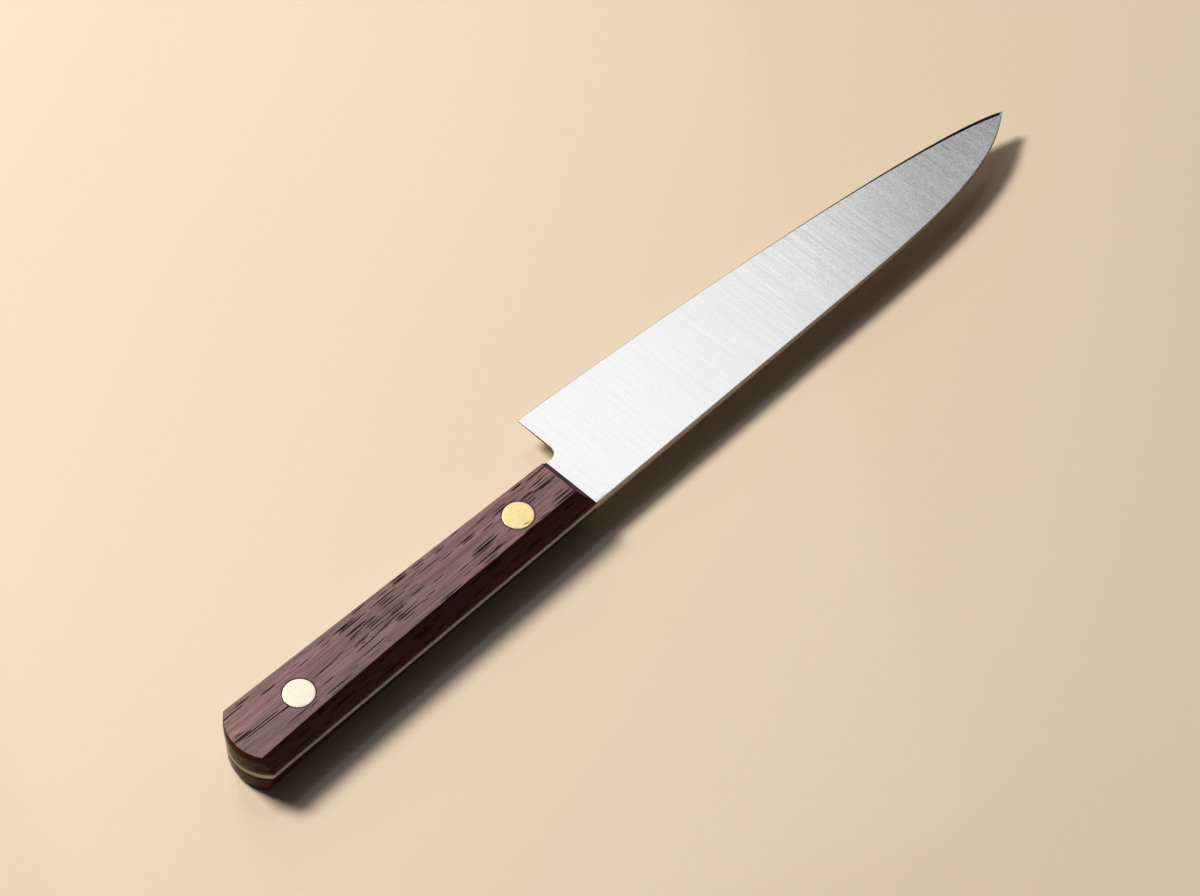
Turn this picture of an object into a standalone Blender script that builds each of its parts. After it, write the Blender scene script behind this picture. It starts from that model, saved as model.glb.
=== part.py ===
"""Petty knife: a full-tang blade, two handle scales and two two-part rivets.

Lengths are metres. The knife lies on its right side: +X runs from the butt to the tip, +Y from the spine to the
cutting edge, and +Z up out of its left side. Shapes are drawn in the knife's own frame, where x = 0 is the handle's
front end on the tang, y = 0 is the line of the spine and z = 0 is the middle of the steel.
"""
import math

import bmesh
import bpy
from mathutils import Vector
from mathutils.geometry import interpolate_bezier

# Blade outline
BLADE_LENGTH = 0.1497          # heel to tip, along the spine
HEEL_HEIGHT = 0.0309           # spine to the heel's corner
HEEL_REACH = 0.0040            # handle front to the back of the heel
CHOIL_RADIUS = 0.0028
TIP_DROP = 0.0114              # spine line down to the tip
SPINE_DROP_LENGTH = 0.0665     # tip back to where the spine starts to fall
SPINE_EASE = 0.0350            # how long the spine stays nearly straight as it starts to fall
SPINE_TIP_REACH = 0.0160
SPINE_TIP_ANGLE = math.radians(38.3)
EDGE_HEEL_REACH = 0.0090       # how long the edge stays nearly parallel to the spine at the heel
EDGE_TIP_REACH = 0.0205
EDGE_TIP_ANGLE = math.radians(26.3)

# Steel
STOCK_THICKNESS = 0.0025       # tang, and spine at the heel
POINT_THICKNESS = 0.0013       # what the distal taper leaves on the spine line above the tip
SHOULDER_THICKNESS = 0.0005    # steel behind the cutting bevel
EDGE_THICKNESS = 0.0001
BEVEL_AT_HEEL = 0.0008         # width of the cutting bevel
BEVEL_AT_TIP = 0.0014
GRIND_RUNOUT = 0.0060          # length over which the flat grind fades out toward the handle

# Handle
HANDLE_LENGTH = 0.1071         # front end on the tang to the butt's apex
FRONT_HEIGHT = 0.0169          # height of the handle at its front end
BUTT_HEIGHT = 0.01895          # height that the belly reaches at the butt
BUTT_RADIUS = 0.0112
BUTT_APEX_HEIGHT = 0.0082      # spine line to the butt's apex
FACE_BUTT_RADIUS = 0.0122      # the butt's arc at the scale's outer face
FACE_BUTT_APEX_HEIGHT = 0.0085
BUTT_CORNER_RADIUS = 0.0009
CORNER_WEAR = 0.6              # share of that radius that is gone at the outer face
SCALE_THICKNESS = 0.00555
FRONT_REACH = 0.0038           # how far the scale's front wall leans back up to the outer face
SPINE_DRAFT_AT_FRONT = 0.0019  # how far the wall on the spine side leans in up to the rim, at the front end
SPINE_DRAFT_AT_BUTT = 0.0009
SPINE_DRAFT_EASE = 4.0         # how late that lean changes toward the butt
BELLY_DRAFT_AT_FRONT = 0.0022
BELLY_DRAFT_AT_BUTT = 0.00055
BUTT_DRAFT = 0.00005
SPINE_RIM_WIDTH = 0.0010       # worn rim of the outer face, measured across
BELLY_RIM_WIDTH = 0.0006
BUTT_RIM_WIDTH = 0.0007
RIM_HEIGHT = 0.0017            # the same rim, measured through the thickness
RIM_BULGE = 0.4                # 0 gives a flat chamfer, and 1 a full round
ARC_TURN_AT_RIM = 0.25         # how much of the face's arc the butt has taken on where the rim starts

# Rivets
FRONT_RIVET_SETBACK = 0.01795  # handle front to the front rivet
RIVET_SPACING = 0.06893
FRONT_RIVET_HEIGHT = 0.00776   # spine line to the front rivet
REAR_RIVET_HEIGHT = 0.00876
HEAD_DIAMETER = 0.0077
HEAD_THICKNESS = 0.0022
HEAD_RIM = 0.00015             # broken edge round the head
TUBE_DIAMETER = 0.0050
BORE_DIAMETER = 0.0032
BORE_FLOOR = 0.0010            # brass left between the bore's end and the outer face
PIN_CHAMFER = 0.0003

CLEARANCE = 0.0003             # between pieces that seat on each other

# Facets
CHOIL_STEPS = 6
HEEL_STEPS = 5
EDGE_STEPS = 44
RIB_CELLS = 6                  # cells between the spine and the cutting bevel
CURVE_POINTS = 200             # points that the edge's and the spine's curves are read from
SIDE_STEPS = 14
CORNER_STEPS = 5
BUTT_STEPS = 12
RIM_STEPS = 4
ROUND_SEGMENTS = 32

HALF_STOCK = STOCK_THICKNESS / 2
SCALE_SEAT = HALF_STOCK + CLEARANCE
FACE_LEVEL = SCALE_SEAT + SCALE_THICKNESS
HEAD_SEAT = FACE_LEVEL - HEAD_THICKNESS
HEEL = Vector((HEEL_REACH, HEEL_HEIGHT))
TIP = Vector((HEEL_REACH + BLADE_LENGTH, TIP_DROP))
RIVETS = {
    "front_rivet": (-FRONT_RIVET_SETBACK, FRONT_RIVET_HEIGHT),
    "rear_rivet": (-FRONT_RIVET_SETBACK - RIVET_SPACING, REAR_RIVET_HEIGHT),
}


def mix(start, end, share):
    return start + (end - start) * share


def even_steps(start, end, count):
    return [mix(start, end, step / count) for step in range(count + 1)]


def clear_scene():
    for item in list(bpy.data.objects):
        bpy.data.objects.remove(item, do_unlink=True)


def material(name, colour, roughness, metallic):
    made = bpy.data.materials.new(name)
    made.use_nodes = True
    shader = made.node_tree.nodes["Principled BSDF"]
    shader.inputs["Base Color"].default_value = (*colour, 1.0)
    shader.inputs["Roughness"].default_value = roughness
    shader.inputs["Metallic"].default_value = metallic
    made.diffuse_color = (*colour, 1.0)
    return made


def closed_mesh(name, corners, faces):
    """Mesh of these corners and faces, with every face turned outward."""
    work = bmesh.new()
    verts = [work.verts.new(corner) for corner in corners]
    for face in faces:
        work.faces.new([verts[index] for index in face])
    bmesh.ops.recalc_face_normals(work, faces=work.faces)
    mesh = bpy.data.meshes.new(name)
    work.to_mesh(mesh)
    work.free()
    mesh.shade_smooth()
    mesh.set_sharp_from_angle(angle=math.radians(25))
    return mesh


def add_piece(name, mesh, frame, finish, place=(0.0, 0.0)):
    piece = bpy.data.objects.new(name, mesh)
    bpy.context.collection.objects.link(piece)
    piece.parent = frame
    piece.location = (*place, 0.0)
    mesh.materials.append(finish)
    return piece


def cut(piece, cutter):
    hole = piece.modifiers.new(cutter.name, "BOOLEAN")
    hole.operation = "DIFFERENCE"
    hole.solver = "EXACT"
    hole.object = cutter


# Outline of the steel

def bezier(points):
    """Points along a curve with four control points."""
    curve = interpolate_bezier(*[point.to_3d() for point in points], CURVE_POINTS)
    return [point.to_2d() for point in curve]


def edge_curve():
    """Cutting edge, from the heel's corner to the tip."""
    leave = HEEL + Vector((EDGE_HEEL_REACH, 0))
    arrive = TIP + EDGE_TIP_REACH * Vector((-1, math.tan(EDGE_TIP_ANGLE)))
    return bezier([HEEL, leave, arrive, TIP])


def spine_curve():
    """Falling end of the spine, from where it leaves its straight line to the tip."""
    start = Vector((TIP.x - SPINE_DROP_LENGTH, 0))
    leave = start + Vector((SPINE_EASE, 0))
    arrive = TIP - SPINE_TIP_REACH * Vector((math.cos(SPINE_TIP_ANGLE), math.sin(SPINE_TIP_ANGLE)))
    return bezier([start, leave, arrive, TIP])


def height_on(curve, x):
    """Height of a curve at a place along X, held level past its ends."""
    if x <= curve[0].x:
        return curve[0].y
    for near, far in zip(curve, curve[1:]):
        if x <= far.x:
            return mix(near.y, far.y, (x - near.x) / (far.x - near.x))
    return curve[-1].y


EDGE = edge_curve()
SPINE = spine_curve()


def heel_outline():
    """Belly of the steel from the handle's front, round the choil and down the back of the heel to its corner."""
    radius = min(CHOIL_RADIUS, HEEL_REACH)
    centre = Vector((HEEL_REACH - radius, FRONT_HEIGHT + radius))
    turns = even_steps(0, math.pi / 2, CHOIL_STEPS)
    choil = [centre + radius * Vector((math.sin(turn), -math.cos(turn))) for turn in turns]
    if radius < HEEL_REACH:
        choil.insert(0, Vector((0, FRONT_HEIGHT)))
    back = even_steps(choil[-1], HEEL - Vector((0, BEVEL_AT_HEEL)), HEEL_STEPS)
    return choil + back[1:]


def corner_round(side, inward_y, radius, butt_centre, butt_radius):
    """Centre of a corner's round that touches one long side and the butt's arc from inside, and the side's normal."""
    near, far = (Vector((place, side(place))) for place in (butt_centre.x, -HANDLE_LENGTH))
    along = (far - near).normalized()
    inward = Vector((-along.y, along.x))
    inward *= math.copysign(1, inward.y * inward_y)
    start = near + inward * radius
    foot = start + along * (butt_centre - start).dot(along)
    reach = (butt_radius - radius) ** 2 - (butt_centre - foot).length_squared
    return foot + along * math.sqrt(max(0.0, reach)), inward


def clockwise_arc(centre, radius, start, end, steps):
    """Points on an arc between two directions, its first point left out."""
    first, last = (math.atan2(direction.y, direction.x) for direction in (start, end))
    turns = even_steps(first, first - (first - last) % (2 * math.pi), steps)[1:]
    return [centre + radius * Vector((math.cos(turn), math.sin(turn))) for turn in turns]


def along_handle(x):
    return min(1.0, max(0.0, -x / HANDLE_LENGTH))


def handle_outline(front_inset=0.0, lean=0.0, rim=0.0):
    """Outline of the handle, leaning in from the tang's by a share of the wall's draft and a share of the rim's width:
    back along the spine side, round the butt and forward along the belly. Every call gives the same number of
    points."""
    def spine(x):
        draft = mix(SPINE_DRAFT_AT_FRONT, SPINE_DRAFT_AT_BUTT, along_handle(x) ** SPINE_DRAFT_EASE)
        return lean * draft + rim * SPINE_RIM_WIDTH

    def belly(x):
        draft = mix(BELLY_DRAFT_AT_FRONT, BELLY_DRAFT_AT_BUTT, along_handle(x))
        return mix(FRONT_HEIGHT, BUTT_HEIGHT, along_handle(x)) - lean * draft - rim * BELLY_RIM_WIDTH

    turn = mix(lean * ARC_TURN_AT_RIM, 1.0, rim)
    radius = mix(BUTT_RADIUS, FACE_BUTT_RADIUS, turn)
    apex = lean * BUTT_DRAFT + rim * BUTT_RIM_WIDTH - HANDLE_LENGTH
    centre = Vector((apex + radius, mix(BUTT_APEX_HEIGHT, FACE_BUTT_APEX_HEIGHT, turn)))
    corner = BUTT_CORNER_RADIUS * (1 - rim * CORNER_WEAR)
    spine_centre, spine_in = corner_round(spine, 1, corner, centre, radius)
    belly_centre, belly_in = corner_round(belly, -1, corner, centre, radius)
    spine_turn, belly_turn = spine_centre - centre, belly_centre - centre
    spine_end = (spine_centre - spine_in * corner).x
    belly_end = (belly_centre - belly_in * corner).x
    points = [Vector((x, spine(x))) for x in even_steps(-front_inset, spine_end, SIDE_STEPS)]
    points += clockwise_arc(spine_centre, corner, -spine_in, spine_turn, CORNER_STEPS)
    points += clockwise_arc(centre, radius, spine_turn, belly_turn, BUTT_STEPS)
    points += clockwise_arc(belly_centre, corner, belly_turn, -belly_in, CORNER_STEPS)
    points += [Vector((x, belly(x))) for x in even_steps(belly_end, -front_inset, SIDE_STEPS)[1:]]
    return points


# Steel

def bevel_width(x):
    return mix(BEVEL_AT_HEEL, BEVEL_AT_TIP, max(0.0, x - HEEL_REACH) / BLADE_LENGTH)


def half_steel(point):
    """Half the steel's thickness on the flat grind: a wedge from the spine line to the cutting bevel's shoulder,
    thinner toward the tip, which fades into the tang's full stock at the handle."""
    taper = max(0.0, point.x - HEEL_REACH) / BLADE_LENGTH
    at_spine = mix(HALF_STOCK, POINT_THICKNESS / 2, taper)
    shoulder = height_on(EDGE, point.x) - bevel_width(point.x)
    ground = mix(at_spine, SHOULDER_THICKNESS / 2, min(1.0, point.y / shoulder))
    fade = min(1.0, max(0.0, point.x / GRIND_RUNOUT))
    return mix(HALF_STOCK, ground, fade * fade * (3 - 2 * fade))


def blade_ribs():
    """Ribs across the blade from the handle's front to just short of the tip, as rows of 3-D points on its left face:
    from the spine to the cutting bevel's shoulder, and then the edge. They fan out round the choil and the heel."""
    back = heel_outline()
    fan_end = HEEL_REACH + GRIND_RUNOUT
    pairs = [(x, belly, False) for x, belly in zip(even_steps(0, fan_end, len(back)), back)]
    for step in range(EDGE_STEPS):
        share = 1 - (1 - step / EDGE_STEPS) ** 1.25
        x = mix(HEEL_REACH, TIP.x, share)
        pairs.append((mix(fan_end, TIP.x, share), Vector((x, height_on(EDGE, x))), True))
    ribs = []
    for spine_x, belly, ground in pairs:
        spine = Vector((spine_x, height_on(SPINE, spine_x)))
        width = min(bevel_width(belly.x) / (belly - spine).length, 0.6)
        shoulder = belly.lerp(spine, width)
        rib = [(*point, half_steel(point)) for point in even_steps(spine, shoulder, RIB_CELLS)]
        rib.append((*belly, EDGE_THICKNESS / 2 if ground else half_steel(belly)))
        ribs.append(rib)
    return ribs


def mirrored(points):
    return [(x, y, -z) for x, y, z in points]


def steel_mesh():
    """Blade and tang in one: a ladder of ribs to the tip, and the tang's outline closed by the first rib."""
    ribs = blade_ribs()
    rib_size = len(ribs[0])
    tang = [(*point, HALF_STOCK) for point in handle_outline()[1:-1]]
    left = [corner for rib in ribs for corner in rib] + [(*TIP, EDGE_THICKNESS / 2)] + tang
    tip = len(ribs) * rib_size
    tang_rim = list(range(tip + 1, len(left)))
    patches = []
    for rib in range(len(ribs) - 1):
        for cell in range(rib_size - 1):
            near, far = rib * rib_size + cell, (rib + 1) * rib_size + cell
            patches.append([near, far, far + 1, near + 1])
    last = tip - rib_size
    patches += [[last + cell, tip, last + cell + 1] for cell in range(rib_size - 1)]
    patches.append(list(range(rib_size - 1, -1, -1)) + tang_rim)
    spine = [rib * rib_size for rib in range(len(ribs))]
    belly = [index + rib_size - 1 for index in spine]
    rim = tang_rim[::-1] + spine + [tip] + belly[::-1]
    under = len(left)
    walls = [[a, b, b + under, a + under] for a, b in zip(rim, rim[1:] + rim[:1])]
    faces = patches + [[index + under for index in patch] for patch in patches] + walls
    return closed_mesh("blade", left + mirrored(left), faces)


# Handle scales

def scale_layers():
    """Heights above the scale's seat with the shares of the wall's lean and of the rim's width there: the seat, the
    leaning wall up to the rim, and the rim."""
    layers = [(0.0, 0.0, 0.0)]
    for share in even_steps(0, 1, RIM_STEPS):
        turn = share * math.pi / 2
        rise = mix(share, math.sin(turn), RIM_BULGE)
        rim = mix(share, 1 - math.cos(turn), RIM_BULGE)
        layers.append((SCALE_THICKNESS - RIM_HEIGHT * (1 - rise), 1.0, rim))
    return layers


def scale_mesh(name, side):
    """A scale on the left side (side = 1) or the right side (side = -1)."""
    corners = []
    for height, lean, rim in scale_layers():
        outline = handle_outline(FRONT_REACH * height / SCALE_THICKNESS, lean, rim)
        corners += [(*point, side * (SCALE_SEAT + height)) for point in outline]
    count = len(outline)
    starts = range(0, len(corners), count)
    faces = [list(range(count)), list(range(starts[-1], starts[-1] + count))]
    for start in starts[:-1]:
        ring = [start + step for step in range(count)]
        faces += [[a, b, b + count, a + count] for a, b in zip(ring, ring[1:] + ring[:1])]
    return closed_mesh(name, corners, faces)


# Rivets

def turned_mesh(name, profile):
    """Solid turned round Z from a profile of radius and height that starts and ends on the axis."""
    corners, rings = [], []
    for radius, height in profile:
        count = ROUND_SEGMENTS if radius else 1
        rings.append(range(len(corners), len(corners) + count))
        turns = [2 * math.pi * step / count for step in range(count)]
        corners += [(radius * math.cos(turn), radius * math.sin(turn), height) for turn in turns]
    faces = []
    for near, far in zip(rings, rings[1:]):
        for step in range(ROUND_SEGMENTS):
            here = [ring[step % len(ring)] for ring in (near, far)]
            after = [ring[(step + 1) % len(ring)] for ring in (far, near)]
            faces.append(list(dict.fromkeys(here + after)))
    return closed_mesh(name, corners, faces)


def head_profile():
    radius = HEAD_DIAMETER / 2
    return [(0, FACE_LEVEL), (radius - HEAD_RIM, FACE_LEVEL), (radius, FACE_LEVEL - HEAD_RIM), (radius, HEAD_SEAT)]


def tube_half():
    outer, bore = TUBE_DIAMETER / 2, BORE_DIAMETER / 2
    tube_end = CLEARANCE - HEAD_SEAT
    bore_end = FACE_LEVEL - BORE_FLOOR
    return head_profile() + [(outer, HEAD_SEAT), (outer, tube_end), (bore, tube_end), (bore, bore_end), (0, bore_end)]


def pin_half():
    """Pin half, which comes up from the right side into the tube."""
    radius = BORE_DIAMETER / 2 - CLEARANCE
    end = FACE_LEVEL - BORE_FLOOR - CLEARANCE
    head = [(reach, -height) for reach, height in head_profile()]
    return head + [(radius, -HEAD_SEAT), (radius, end - PIN_CHAMFER), (radius - PIN_CHAMFER, end), (0, end)]


def rivet_hole():
    """Shank hole through scales and tang, with a seat for each head that runs out past the outer face."""
    head, shank = HEAD_DIAMETER / 2 + CLEARANCE, TUBE_DIAMETER / 2 + CLEARANCE
    seat = HEAD_SEAT - CLEARANCE
    beyond = FACE_LEVEL + HEAD_THICKNESS
    upper = [(0, beyond), (head, beyond), (head, seat), (shank, seat)]
    return upper + [(reach, -height) for reach, height in reversed(upper)]


def build():
    clear_scene()
    steel = material("satin_steel", (0.60, 0.60, 0.61), 0.32, 1.0)
    wood = material("rosewood", (0.085, 0.035, 0.028), 0.42, 0.0)
    brass = material("brass", (0.80, 0.56, 0.24), 0.25, 1.0)

    frame = bpy.data.objects.new("knife_frame", None)
    bpy.context.collection.objects.link(frame)
    frame.location = ((HANDLE_LENGTH - TIP.x) / 2, -HEEL_HEIGHT / 2, FACE_LEVEL)

    drilled = [
        add_piece("blade", steel_mesh(), frame, steel),
        add_piece("left_scale", scale_mesh("left_scale", 1), frame, wood),
        add_piece("right_scale", scale_mesh("right_scale", -1), frame, wood),
    ]
    for name, place in RIVETS.items():
        add_piece(f"{name}_tube", turned_mesh(f"{name}_tube", tube_half()), frame, brass, place)
        add_piece(f"{name}_pin", turned_mesh(f"{name}_pin", pin_half()), frame, brass, place)
        cutter = add_piece(f"{name}_hole", turned_mesh(f"{name}_hole", rivet_hole()), frame, brass, place)
        cutter.hide_render = True
        cutter.display_type = "WIRE"
        for piece in drilled:
            cut(piece, cutter)


build()
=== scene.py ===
"""Petty knife, dressed: a satin-ground blade and tang, two rosewood scales and two brass rivets.

Lengths are metres. Shapes are drawn in the knife's own frame, where x = 0 is the handle's front end on the
tang, y = 0 is the line of the spine and z = 0 is the middle of the steel. They then move to KNIFE_PLACE.
"""
import math

import bmesh
import bpy
from mathutils import Matrix, Vector
from mathutils.geometry import interpolate_bezier


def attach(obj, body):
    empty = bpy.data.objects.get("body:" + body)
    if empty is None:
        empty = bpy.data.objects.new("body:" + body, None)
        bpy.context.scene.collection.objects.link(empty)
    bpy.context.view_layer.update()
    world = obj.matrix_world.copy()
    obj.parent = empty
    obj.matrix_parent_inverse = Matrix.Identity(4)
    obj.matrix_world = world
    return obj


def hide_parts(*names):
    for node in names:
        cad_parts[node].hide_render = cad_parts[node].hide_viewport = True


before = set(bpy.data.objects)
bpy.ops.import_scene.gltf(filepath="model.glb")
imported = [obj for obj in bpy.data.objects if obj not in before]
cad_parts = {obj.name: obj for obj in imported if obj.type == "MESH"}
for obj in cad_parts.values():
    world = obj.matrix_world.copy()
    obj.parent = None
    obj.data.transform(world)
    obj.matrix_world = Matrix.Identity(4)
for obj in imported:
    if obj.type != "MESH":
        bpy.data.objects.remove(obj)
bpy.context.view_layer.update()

# Blade outline
BLADE_LENGTH = 0.1497          # heel to tip, along the spine
HEEL_HEIGHT = 0.0309           # spine to the heel's corner
HEEL_REACH = 0.0040            # handle front to the back of the heel
CHOIL_RADIUS = 0.0028
TIP_DROP = 0.0114              # spine line down to the tip
SPINE_DROP_LENGTH = 0.0665     # tip back to where the spine starts to fall
SPINE_EASE = 0.0350            # how long the spine stays nearly straight as it starts to fall
SPINE_TIP_REACH = 0.0160
SPINE_TIP_ANGLE = math.radians(38.3)
EDGE_HEEL_REACH = 0.0090       # how long the edge stays nearly parallel to the spine at the heel
EDGE_TIP_REACH = 0.0205
EDGE_TIP_ANGLE = math.radians(26.3)

# Steel
STOCK_THICKNESS = 0.0025       # tang, and spine at the heel
POINT_THICKNESS = 0.0013       # what the distal taper leaves on the spine line above the tip
BEVEL_SLOPE = 0.17             # rise of each side of the bevel on its width
EDGE_THICKNESS = 0.0001
BEVEL_AT_HEEL = 0.0001         # width of the cutting bevel
BEVEL_AT_TIP = 0.0012
BEVEL_GROWTH_START = 0.30      # share of the blade behind the widening bevel
BEVEL_GROWTH_POWER = 2.5       # how late it widens from there on
GRIND_START = -0.0200          # the flat grind fades in under the scales
GRIND_FULL = 0.0080
SPINE_ROUND = (0.00014, 4.0)   # how far the spine's corners are rounded in, and how flat its middle stays
TANG_ROUND = (0.00012, 4.0)
TIP_WEAR = 1.8                 # how much wider the spine's round gets towards the tip
TIP_WEAR_START = 0.1100
ROUND_LIMIT = 0.2              # most of a rib that one of its rounds may take
BEVEL_LIMIT = 0.6              # most of a rib that the bevel may take
HEEL_FAN = 0.0060              # length of spine that the ribs to the heel's back take
FAN_GAP = 0.00001              # between the last of those ribs and the first one to the edge
RIB_CROWDING = 1.25            # how much closer the ribs stand towards the tip

# Handle
HANDLE_LENGTH = 0.1071         # front end on the tang to the butt's apex
FRONT_HEIGHT = 0.0169          # height of the handle at its front end
BUTT_HEIGHT = 0.01895          # height that the belly reaches at the butt
BUTT_RADIUS = 0.0112
BUTT_APEX_HEIGHT = 0.0082      # spine line to the butt's apex
FACE_BUTT_RADIUS = 0.0122      # the butt's arc at the scale's outer face
FACE_BUTT_APEX_HEIGHT = 0.0085
BUTT_CORNER_RADIUS = 0.0009
CORNER_WEAR = 0.6              # share of that radius that is gone at the outer face
LEAST_CORNER = 0.0003
FACE_LEVEL = 0.0071            # middle of the steel to a scale's outer face
FRONT_REACH = 0.0038           # how far the scale's front wall leans back up to the outer face
SPINE_DRAFT_AT_FRONT = 0.0019  # how far the wall on the spine side leans in up to the rim, at the front end
SPINE_DRAFT_AT_BUTT = 0.0009
SPINE_DRAFT_EASE = 4.0         # how late that lean changes toward the butt
BELLY_DRAFT_AT_FRONT = 0.0022
BELLY_DRAFT_AT_BUTT = 0.00055
BUTT_DRAFT = 0.00005
SPINE_RIM_WIDTH = 0.0010       # worn rim of the outer face, measured across
BELLY_RIM_WIDTH = 0.0006
BUTT_RIM_WIDTH = 0.0007
RIM_HEIGHT = 0.0017            # the same rim, measured through the thickness
RIM_BULGE = 0.4                # 0 is a flat chamfer, 1 a full round
ARC_TURN_AT_RIM = 0.25         # how much of the face's arc the butt has taken on where the rim starts
SEAT_LIFT = 0.00002            # between the tang and the wood
SEAT_EASE = 0.00012            # broken edge of the wood at the tang
RIDGE_EASE = 0.00012           # worn crest between the outer face and the rim
CROWN_DROP = 0.00004           # how far the outer face falls from its flat middle to the rim
CROWN_REACH = 0.0032           # width of that fall
EDGE_LEVEL = FACE_LEVEL - CROWN_DROP
SEAM_START = 0.40              # share of the tang's half thickness where the painted shade of the seam begins
SEAM_ZONE = 0.5                # numbers kept on the meshes' corners, which the materials read
EDGE_ZONE = -1.0

# Rivets
FRONT_RIVET_SETBACK = 0.01795  # handle front to the front rivet
RIVET_SPACING = 0.06893
FRONT_RIVET_HEIGHT = 0.00776   # spine line to the front rivet
REAR_RIVET_HEIGHT = 0.00876
HEAD_DIAMETER = 0.0077
HEAD_SEAT = 0.0049             # middle of the steel to the underside of a head
HEAD_RIM = 0.00008             # broken edge round the head
HEAD_CROWN = 0.00002
TUBE_DIAMETER = 0.0050
BORE_DIAMETER = 0.0032
BORE_FLOOR = 0.0010            # brass left between the bore's end and the outer face
HEAD_GAP = 0.00009             # open ring between a head and the wood
SHANK_GAP = 0.00005
SEAT_GAP = 0.00003             # under a head
HALVES_GAP = 0.0001            # between a rivet's two halves
PIN_CHAMFER = 0.0003
HOLE_LIP = 0.00006             # broken edge of the wood round a head
HOLE_EXCESS = 0.0003           # how far the cutter stands out of the wood
HOLE_ZONE_REACH = 0.006        # round each hole the zones are cleared, because the cut mixes them up

# Finishes
SHARP_ANGLE = math.radians(22)
SIDE_TILT = 0.85               # a face is a side where its normal's Z is less than this
FRONT_TILT = 0.7               # and the scale's front facet where its X is more than this
HEEL_BACK = (HEEL_REACH + 0.001, FRONT_HEIGHT + 0.0002)   # the heel's back has less X and more Y than this
FRESH_GRIND = (0.050, 0.150)   # in front of the handle: where the grind marks start, and are full
WORN_GRIND_SHARE = 0.12        # what is left of them behind that
SPINE_SHADE = (0.030, 0.150)   # in front of the handle: where the painted shade on the spine starts, and is darkest
RING_FADE = (0.00016, 0.00040)     # past a head's rim: where the ring of painted shade starts to fade, and ends
GRAIN_DRIFT = 0.0016           # how far the grain wanders across the handle
STROKE_TAPER = 0.12            # a stroke is widest where share * (1 - share) of its length is over this
STROKE_POINT = 0.35            # width of its ends, as a share of that
STROKE_CORE = 0.6              # share of its width before it fades
UPPER_SIDE_FADE = 0.0003       # height above the steel's middle over which the strokes appear

# Long marks, each from a start to an end on the knife with half a width
WOOD_SPLITS = (
    ((-0.0930, 0.0090), (-0.1058, 0.0092), 0.00017),
    ((-0.0906, 0.0082), (-0.1045, 0.0085), 0.00015),
)
BRASS_SCARS = (((-0.0189, 0.0050), (-0.0174, 0.00455), 0.00022),)
BLADE_SCRATCHES = (((0.1355, 0.0153), (0.1354, 0.0122), 0.00020),)

# Mesh
CURVE_POINTS = 400
CHOIL_STEPS = 14
HEEL_STEPS = 16
EDGE_STEPS = 150
RIB_CELLS = 12
SIDE_STEPS = 60
SEAT_STEPS = 3
CORNER_STEPS = 10
BUTT_STEPS = 36
ROUND_STEPS = 8
RIM_STEPS = 8
WALL_STEPS = 6
CROWN_STEPS = 6
TURN_STEPS = 96
HEAD_STEPS = 8
HEAD_RIM_STEPS = 5
MERGE_DISTANCE = 0.000001

HALF_STOCK = STOCK_THICKNESS / 2
HEEL = Vector((HEEL_REACH, HEEL_HEIGHT))
TIP = Vector((HEEL_REACH + BLADE_LENGTH, TIP_DROP))
KNIFE_PLACE = Vector(((HANDLE_LENGTH - TIP.x) / 2, -HEEL_HEIGHT / 2, FACE_LEVEL))
RIVETS = {
    "front_rivet": Vector((-FRONT_RIVET_SETBACK, FRONT_RIVET_HEIGHT)),
    "rear_rivet": Vector((-FRONT_RIVET_SETBACK - RIVET_SPACING, REAR_RIVET_HEIGHT)),
}


def mix(start, end, share):
    return start + (end - start) * share


def smooth(share):
    share = min(1.0, max(0.0, share))
    return share * share * (3 - 2 * share)


def even_steps(start, end, count):
    return [mix(start, end, step / count) for step in range(count + 1)]


def quarter_turn(steps):
    return even_steps(0, math.pi / 2, steps)


# Outline

def bezier(points):
    curve = interpolate_bezier(*[point.to_3d() for point in points], CURVE_POINTS)
    return [point.to_2d() for point in curve]


def edge_curve():
    leave = HEEL + Vector((EDGE_HEEL_REACH, 0))
    arrive = TIP + EDGE_TIP_REACH * Vector((-1, math.tan(EDGE_TIP_ANGLE)))
    return bezier([HEEL, leave, arrive, TIP])


def spine_curve():
    start = Vector((TIP.x - SPINE_DROP_LENGTH, 0))
    leave = start + Vector((SPINE_EASE, 0))
    arrive = TIP - SPINE_TIP_REACH * Vector((math.cos(SPINE_TIP_ANGLE), math.sin(SPINE_TIP_ANGLE)))
    return bezier([start, leave, arrive, TIP])


def height_on(curve, x):
    if x <= curve[0].x:
        return curve[0].y
    for near, far in zip(curve, curve[1:]):
        if x <= far.x:
            return mix(near.y, far.y, (x - near.x) / (far.x - near.x))
    return curve[-1].y


EDGE = edge_curve()
SPINE = spine_curve()


def heel_outline():
    """Belly of the steel from the handle's front, round the choil and down the heel's back."""
    centre = Vector((HEEL_REACH - CHOIL_RADIUS, FRONT_HEIGHT + CHOIL_RADIUS))
    turns = quarter_turn(CHOIL_STEPS)
    choil = [Vector((0, FRONT_HEIGHT))]
    choil += [centre + CHOIL_RADIUS * Vector((math.sin(turn), -math.cos(turn))) for turn in turns]
    back = even_steps(choil[-1], HEEL - Vector((0, BEVEL_AT_HEEL)), HEEL_STEPS)
    return choil + back[1:]


def corner_round(side, inward_y, radius, butt_centre, butt_radius):
    """Centre of the small arc that joins a side to the butt's arc, and the direction in from that side."""
    near, far = (Vector((place, side(place))) for place in (butt_centre.x, -HANDLE_LENGTH))
    along = (far - near).normalized()
    inward = Vector((-along.y, along.x))
    inward *= math.copysign(1, inward.y * inward_y)
    start = near + inward * radius
    foot = start + along * (butt_centre - start).dot(along)
    reach = (butt_radius - radius) ** 2 - (butt_centre - foot).length_squared
    return foot + along * math.sqrt(reach), inward


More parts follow.
